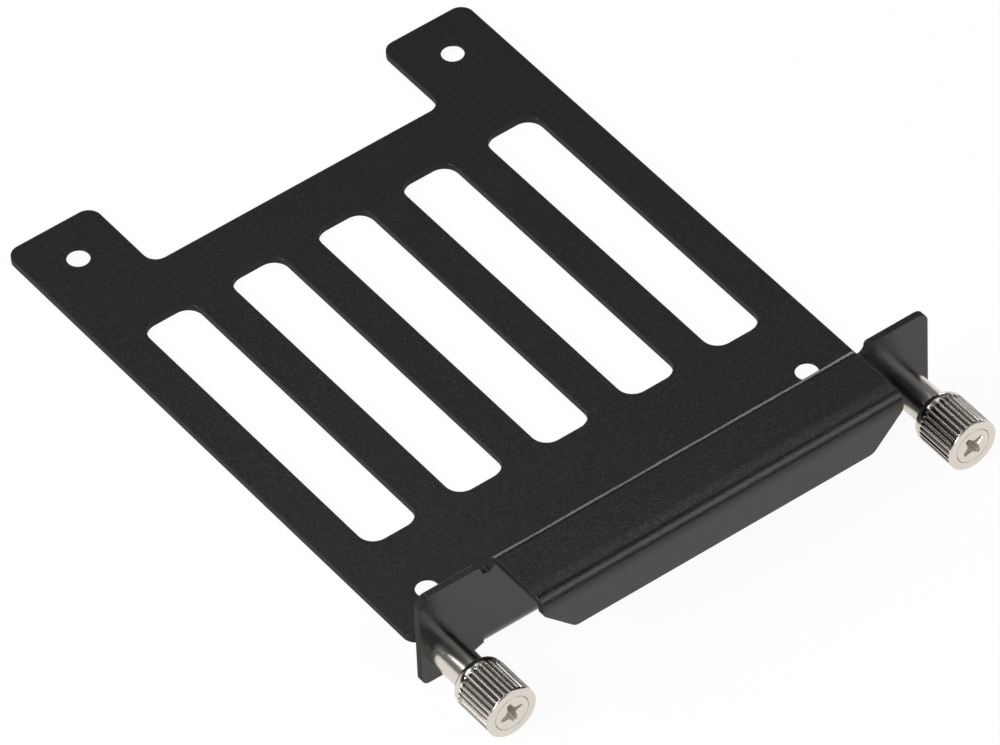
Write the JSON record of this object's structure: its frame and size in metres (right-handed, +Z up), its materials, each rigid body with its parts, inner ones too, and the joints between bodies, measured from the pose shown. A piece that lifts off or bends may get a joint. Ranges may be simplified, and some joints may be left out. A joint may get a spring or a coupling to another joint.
{
  "type": "drive bay adapter bracket",
  "caption": "Folded sheet-metal tray that adapts a small drive to a larger bay, with a slotted base, a finger lip and spring-loaded captive thumb screws.",
  "frame": {"origin": "the middle of the four drive holes, on the top face of the base, where the drive sits", "axes": "+X to the right across the bracket, +Y from the front plate to the ears at the rear, +Z up from the base"},
  "size_m": [0.082, 0.11, 0.0158],
  "materials": {
    "black_powder_coat": "fine-textured black powder coat on folded steel",
    "nickel_plate": "bright nickel plate on turned and knurled steel",
    "spring_wire": "drawn stainless wire"
  },
  "bodies": {
    "bracket": {"bracket": "black_powder_coat", "left_ferrule": "nickel_plate", "right_ferrule": "nickel_plate"},
    "left_plunger": {"left_spring": "spring_wire"},
    "left_thumb_screw": {"left_knob": "nickel_plate", "left_screw": "nickel_plate"},
    "right_plunger": {"right_spring": "spring_wire"},
    "right_thumb_screw": {"right_knob": "nickel_plate", "right_screw": "nickel_plate"}
  },
  "joints": [
    {"name": "left_press", "type": "slide", "parent": "bracket", "child": "left_plunger", "axis": [0, 1, 0], "range_m": [0, 0.0048], "stiffness_N_per_m": 400, "springref_m": -0.003, "deforming": ["left_spring"]},
    {"name": "left_turn", "type": "hinge", "parent": "left_plunger", "child": "left_thumb_screw", "pos_m": [-0.0372, -0.0508, 0.0033], "axis": [0, 1, 0], "continuous": true},
    {"name": "right_press", "type": "slide", "parent": "bracket", "child": "right_plunger", "axis": [0, 1, 0], "range_m": [0, 0.0048], "stiffness_N_per_m": 400, "springref_m": -0.003, "deforming": ["right_spring"]},
    {"name": "right_turn", "type": "hinge", "parent": "right_plunger", "child": "right_thumb_screw", "pos_m": [0.0372, -0.0508, 0.0033], "axis": [0, 1, 0], "continuous": true}
  ]
}
